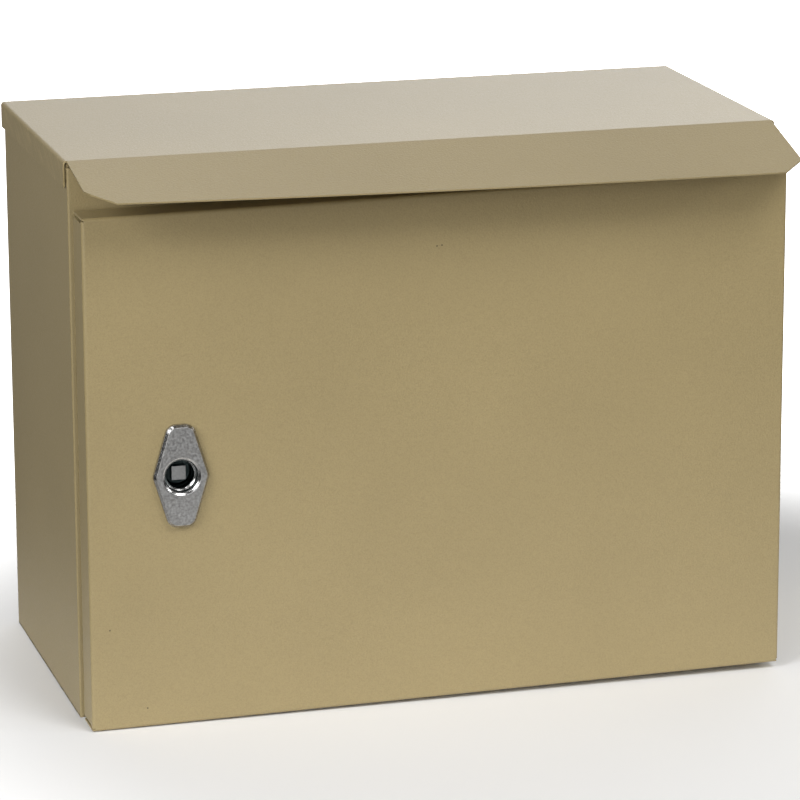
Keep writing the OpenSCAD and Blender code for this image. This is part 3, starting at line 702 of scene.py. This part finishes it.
bright_steel = plated_steel("bright_plated_steel", colour=(0.60, 0.60, 0.585), rough=0.30)
coat_node("lock_washer", bright_steel)
lock_nut = nut("lock_hex_nut", lock_axis, -0.2063, -0.2003, 0.030, 0.0111)
fit(lock_nut, plated_steel("cast_nut_zinc", colour=(0.46, 0.46, 0.455), rough=0.42),
    "door", "zinc_casting", "lock_nut")


# ---- Cam and its screw ----
# A joggled strip of plated steel on the spindle's second square; it swings behind the front flange. A plain
# washer and a hexagon screw, both plated, hold it on.

def galvanised_sheet(name):
    """Hot-dip zinc: pale grey spangles of different tilt, dulled by age."""
    material, tree, shader, place, add = blank_material(name)
    spangle = add("ShaderNodeTexVoronoi", [(place, "Vector")], scale=160.0).outputs["Color"]
    dust = noise(add, place, 700.0, 3.0)
    tilt = add("ShaderNodeSeparateColor", [(spangle, "Color")]).outputs["Red"]
    tree.links.new(ramp(add, tilt, [(0.0, (0.40, 0.41, 0.415)), (1.0, (0.58, 0.59, 0.59))]),
                   shader.inputs["Base Color"])
    shader.inputs["Metallic"].default_value = 1.0
    tree.links.new(mapped(add, tilt, 0.0, 1.0, 0.34, 0.52), shader.inputs["Roughness"])
    roughen(add, tree, shader, dust, 0.25, 0.00006)
    return material


galvanised = galvanised_sheet("galvanised_sheet")
coat_node("lock_cam", galvanised)
coat_node("cam_washer", bright_steel)
cam_head, cam_seat, cam_tip = -0.1811, -0.1846, -0.1946
cam_head_r, cam_head_wide, cam_screw_r = 0.00462, 0.008, 0.0025
cam_bolt = turned("cam_hex_screw", lock_axis, [
    (pole_r, cam_head), (0.0032, cam_head), (0.0037, cam_head - 0.0001), (0.0042, cam_head - 0.0004),
    (cam_head_r, cam_head - 0.0007), (cam_head_r, cam_seat), (cam_screw_r, cam_seat), (cam_screw_r, cam_tip),
    (pole_r, cam_tip)], steps=96)
shift(cam_bolt, six_flats(lock_axis, cam_head_wide))
face_out(angle=25.0)
fit(cam_bolt, bright_steel, "lock", "plated_steel", "cam_screw")


# ---- Hinge pins ----
# Plain bright plated steel pins, one to each hinge. They are pushed in after the coating and held between
# the rolled knuckles of the painted leaves.
for name in ("upper_hinge_pin", "lower_hinge_pin"):
    coat_node(name, bright_steel)


# ---- Meter board and its rails ----
# A dark board of pressed paper and resin that the meter is screwed to. Two folded Z-section rails of
# galvanised sheet, welded to the back, hold it clear of the wall.
for name in ("left_panel_rail", "right_panel_rail"):
    coat_node(name, galvanised)

material, tree, shader, place, add = blank_material("resin_board")
fibre = add("ShaderNodeMapping", [(place, "Vector")])
fibre.inputs["Scale"].default_value = (900.0, 300.0, 90.0)
streak = noise(add, fibre.outputs["Vector"], 1.0, 4.0)
cloud = noise(add, place, 26.0, 3.0)
both = add("ShaderNodeMath", [(streak, 0), (cloud, 1)], operation="ADD").outputs[0]
brown = ramp(add, mapped(add, both, 0.6, 1.4, 0.0, 1.0),
             [(0.0, (0.060, 0.036, 0.022)), (1.0, (0.105, 0.066, 0.040))])
tree.links.new(brown, shader.inputs["Base Color"])
tree.links.new(mapped(add, streak, 0.3, 0.7, 0.34, 0.46), shader.inputs["Roughness"])
roughen(add, tree, shader, streak, 0.2, 0.00006)
coat_node("meter_panel", material)


# ---- Board screws and nuts ----
# Four plated pan-head screws with a cross recess. They pass through the board and the rails into plated
# hexagon nuts behind them.
screw_x, screw_z, screw_r = 0.142, 0.097, 0.0025
head_top, head_seat, screw_tip = -0.0402, -0.0372, -0.0222
recess_long, recess_wide, recess_deep, recess_taper = 0.0050, 0.0011, 0.0018, 0.6

screw_places = [(side * screw_x, up * screw_z) for side in (-1, 1) for up in (-1, 1)]
first = screw_places[0]
screw_thread = thread_rings(screw_r, 0.0003, head_seat + 0.0004, 0.0004, 36)
screw = turned("board_screw", first, [
    (pole_r, head_top), (0.0018, head_top + 0.00005), (0.0030, head_top + 0.00035),
    (0.0040, head_top + 0.0010), (0.0046, head_top + 0.0019), (0.00472, head_top + 0.0026),
    (0.0046, head_seat), (screw_r, head_seat),
    *screw_thread, (0.0020, screw_tip), (pole_r, screw_tip)], steps=48)
face_out(angle=35.0)
for wide, high in ((recess_wide, recess_long), (recess_long, recess_wide)):
    slot_tool = start(bpy.ops.mesh.primitive_cube_add, "recess", size=1.0,
                      location=(first[0], head_top, first[1]))
    bpy.ops.transform.resize(value=(wide, 2 * recess_deep, high),
                             center_override=(first[0], head_top, first[1]))
    pick(slot_tool, "faces", lambda c, n: n.y > 0.9)
    bpy.ops.transform.resize(value=(recess_taper, 1.0, recess_taper),
                             center_override=(first[0], head_top + recess_deep, first[1]))
    bpy.ops.object.mode_set(mode="OBJECT")
    cut_away(screw, slot_tool)
bpy.ops.object.mode_set(mode="EDIT")
face_out(angle=35.0)


def copies(piece, places):
    """The piece and a copy at each further place, every one with its own mesh."""
    made = [piece]
    for number, (x, z) in enumerate(places[1:], 2):
        bpy.ops.object.select_all(action="DESELECT")
        piece.select_set(True)
        bpy.context.view_layer.objects.active = piece
        bpy.ops.object.duplicate(linked=False)
        bpy.ops.transform.translate(value=(x - places[0][0], 0.0, z - places[0][1]))
        bpy.ops.object.transform_apply(location=True, rotation=True, scale=True)
        bpy.context.object.name = "%s_%d" % (piece.name, number)
        made.append(bpy.context.object)
    return made


for piece in copies(screw, screw_places):
    fit(piece, bright_steel, "enclosure", "plated_steel", "panel_screws")
board_nut = nut("board_nut", first, -0.0296, -0.0256, 0.008, 0.0026)
for piece in copies(board_nut, screw_places):
    fit(piece, bright_steel, "enclosure", "plated_steel", "panel_nuts")


# ---- Earth stud, washer and nut ----
# A turned brass stud fixed to the back by its foot, with a plain washer and a hexagon nut of brass that
# clamp the earth wire.

def dull_brass(name):
    """Turned brass, browned in patches."""
    material, tree, shader, place, add = blank_material(name)
    stain = noise(add, place, 240.0, 4.0)
    grain = noise(add, place, 1600.0, 2.0)
    tree.links.new(ramp(add, stain, [(0.3, (0.36, 0.23, 0.075)), (0.55, (0.60, 0.43, 0.16)),
                                     (0.8, (0.68, 0.51, 0.22))]), shader.inputs["Base Color"])
    shader.inputs["Metallic"].default_value = 1.0
    tree.links.new(mapped(add, stain, 0.3, 0.7, 0.44, 0.26), shader.inputs["Roughness"])
    roughen(add, tree, shader, grain, 0.2, 0.00005)
    return material


brass = dull_brass("dull_brass")
earth_axis = (-0.180, 0.0)
stud_foot, stud_end, foot_thick = -0.0012, -0.0232, 0.0010
stud_r, foot_r = 0.003, 0.0045
stud_thread = thread_rings(stud_r, 0.00035, stud_end + 0.0008, 0.0005, 38)
stud = turned("earth_thread_stud", earth_axis, [
    (pole_r, stud_end), (0.0024, stud_end), (0.0028, stud_end + 0.0004), *stud_thread,
    (stud_r, stud_foot - foot_thick), (foot_r, stud_foot - foot_thick), (foot_r, stud_foot),
    (pole_r, stud_foot)])
face_out()
fit(stud, brass, "enclosure", "earth_brass", "earth_stud")
coat_node("earth_washer", brass)
fit(nut("earth_hex_nut", earth_axis, -0.0088, -0.0038, 0.010, 0.0031), brass,
    "enclosure", "earth_brass", "earth_nut")


# ---- Floor, light and camera ----
# A pale floor that fades out, and soft studio light: a key box high at the right of the front, which throws
# the hood's shadow, two boxes at the left, and two small lamps for the lock's glints. The walls are white to
# the camera; the light from them is a screen and a glow behind the box that the roof mirrors.
floor_z, floor_r = -0.1552, 1.6
fade_place, fade_from, fade_to = (0.10, -0.18, floor_z), 0.28, 0.60
floor = start(bpy.ops.mesh.primitive_circle_add, "floor", vertices=96, radius=floor_r, fill_type="NGON",
              location=(0.0, -0.1, floor_z))
bpy.ops.object.mode_set(mode="OBJECT")
material, tree, shader, place, add = blank_material("pale_floor")
mottle = add("ShaderNodeTexNoise", [(place, "Vector")], scale=3.0).outputs["Fac"]
tree.links.new(ramp(add, mottle, [(0.3, (0.91, 0.91, 0.91)), (0.7, (0.94, 0.94, 0.94))]),
               shader.inputs["Base Color"])
shader.inputs["Roughness"].default_value = 0.9
far = add("ShaderNodeVectorMath", [(place, 0)], operation="DISTANCE")
far.inputs[1].default_value = fade_place
tree.links.new(mapped(add, far.outputs["Value"], fade_from, fade_to, 1.0, 0.0), shader.inputs["Alpha"])
floor.data.materials.append(material)


light_aim, light_far = Vector((0.0, -0.2, 0.0)), 2.6
large, small = 1.2, 0.5


def outward(turn, tilt):
    """The direction that lies this many degrees to the right of the box's front and this many up."""
    a, e = math.radians(turn), math.radians(tilt)
    return Vector((math.sin(a) * math.cos(e), -math.cos(a) * math.cos(e), math.sin(e)))


def softbox(name, turn, tilt, size, power):
    """A square light with a soft edge, facing the box from a direction round it."""
    place = outward(turn, tilt) * light_far + light_aim
    bpy.ops.object.light_add(type="AREA", location=place)
    light = bpy.context.object
    light.name = name
    light.data.shape = "RECTANGLE"
    light.data.size, light.data.size_y = size, size
    light.data.energy = power
    light.rotation_euler = (light_aim - place).to_track_quat("-Z", "Y").to_euler()


softbox("key_box", 24, 50, large, 29.0)
softbox("left_box", -57, 26, large, 37.0)
softbox("front_box", -25, 12, large, 20.0)
softbox("left_lamp", -55, 60, small, 4.0)
softbox("right_lamp", 65, 23, small, 10.0)

world = bpy.data.worlds.new("studio")
world.use_nodes = True
bpy.context.scene.world = world
tree = world.node_tree
add = adder(tree)
toward = add("ShaderNodeTexCoord").outputs["Generated"]


def glow(direction, width, strength):
    """A soft patch of light on the studio's walls, round a direction."""
    dot = add("ShaderNodeVectorMath", [(toward, 0)], operation="DOT_PRODUCT")
    dot.inputs[1].default_value = Vector(direction).normalized()
    value = dot.outputs["Value"]
    for operation, number in (("MAXIMUM", 0.0), ("POWER", width), ("MULTIPLY", strength)):
        node = add("ShaderNodeMath", [(value, 0)], operation=operation)
        node.inputs[1].default_value = number
        value = node.outputs[0]
    return value


wall_dark, wall_white = 0.06, 1.05
screen = mapped(add, glow((0.261, 0.931, -0.253), 1.0, 1.0), 0.955, 0.985, wall_dark, wall_white)
behind = glow((0.45, 0.88, 0.12), 10.0, 3.0)
lit = add("ShaderNodeMath", [(screen, 0), (behind, 1)], operation="ADD").outputs[0]
by_camera = add("ShaderNodeLightPath").outputs["Is Camera Ray"]
seen = add("ShaderNodeMapRange", [(by_camera, "Value")], to_max=wall_white).outputs["Result"]
walls = add("ShaderNodeMath", [(lit, 0), (seen, 1)], operation="MAXIMUM").outputs[0]
tree.nodes["Background"].inputs["Color"].default_value = (1.0, 1.0, 1.0, 1.0)
tree.links.new(walls, tree.nodes["Background"].inputs["Strength"])

view_turn, view_tilt, view_roll = -15.73, 14.66, -0.20
camera_right, camera_up, camera_far = 0.0336, -0.0334, 2.522
focal_pixels, photo_pixels, sensor_mm = 4240.0, 800.0, 36.0
away, roll = outward(view_turn, view_tilt), math.radians(view_roll)
right = Vector((0.0, 0.0, 1.0)).cross(away).normalized()
up = away.cross(right)
right, up = (math.cos(roll) * right + math.sin(roll) * up, math.cos(roll) * up - math.sin(roll) * right)
bpy.ops.object.camera_add()
camera = bpy.context.object
camera_place = camera_right * right + camera_up * up + camera_far * away
camera.matrix_world = Matrix.Translation(camera_place) @ Matrix((right, up, away)).transposed().to_4x4()
camera.data.sensor_width = sensor_mm
camera.data.lens = focal_pixels * sensor_mm / photo_pixels
bpy.context.scene.camera = camera
bpy.context.scene.view_settings.view_transform = "Standard"
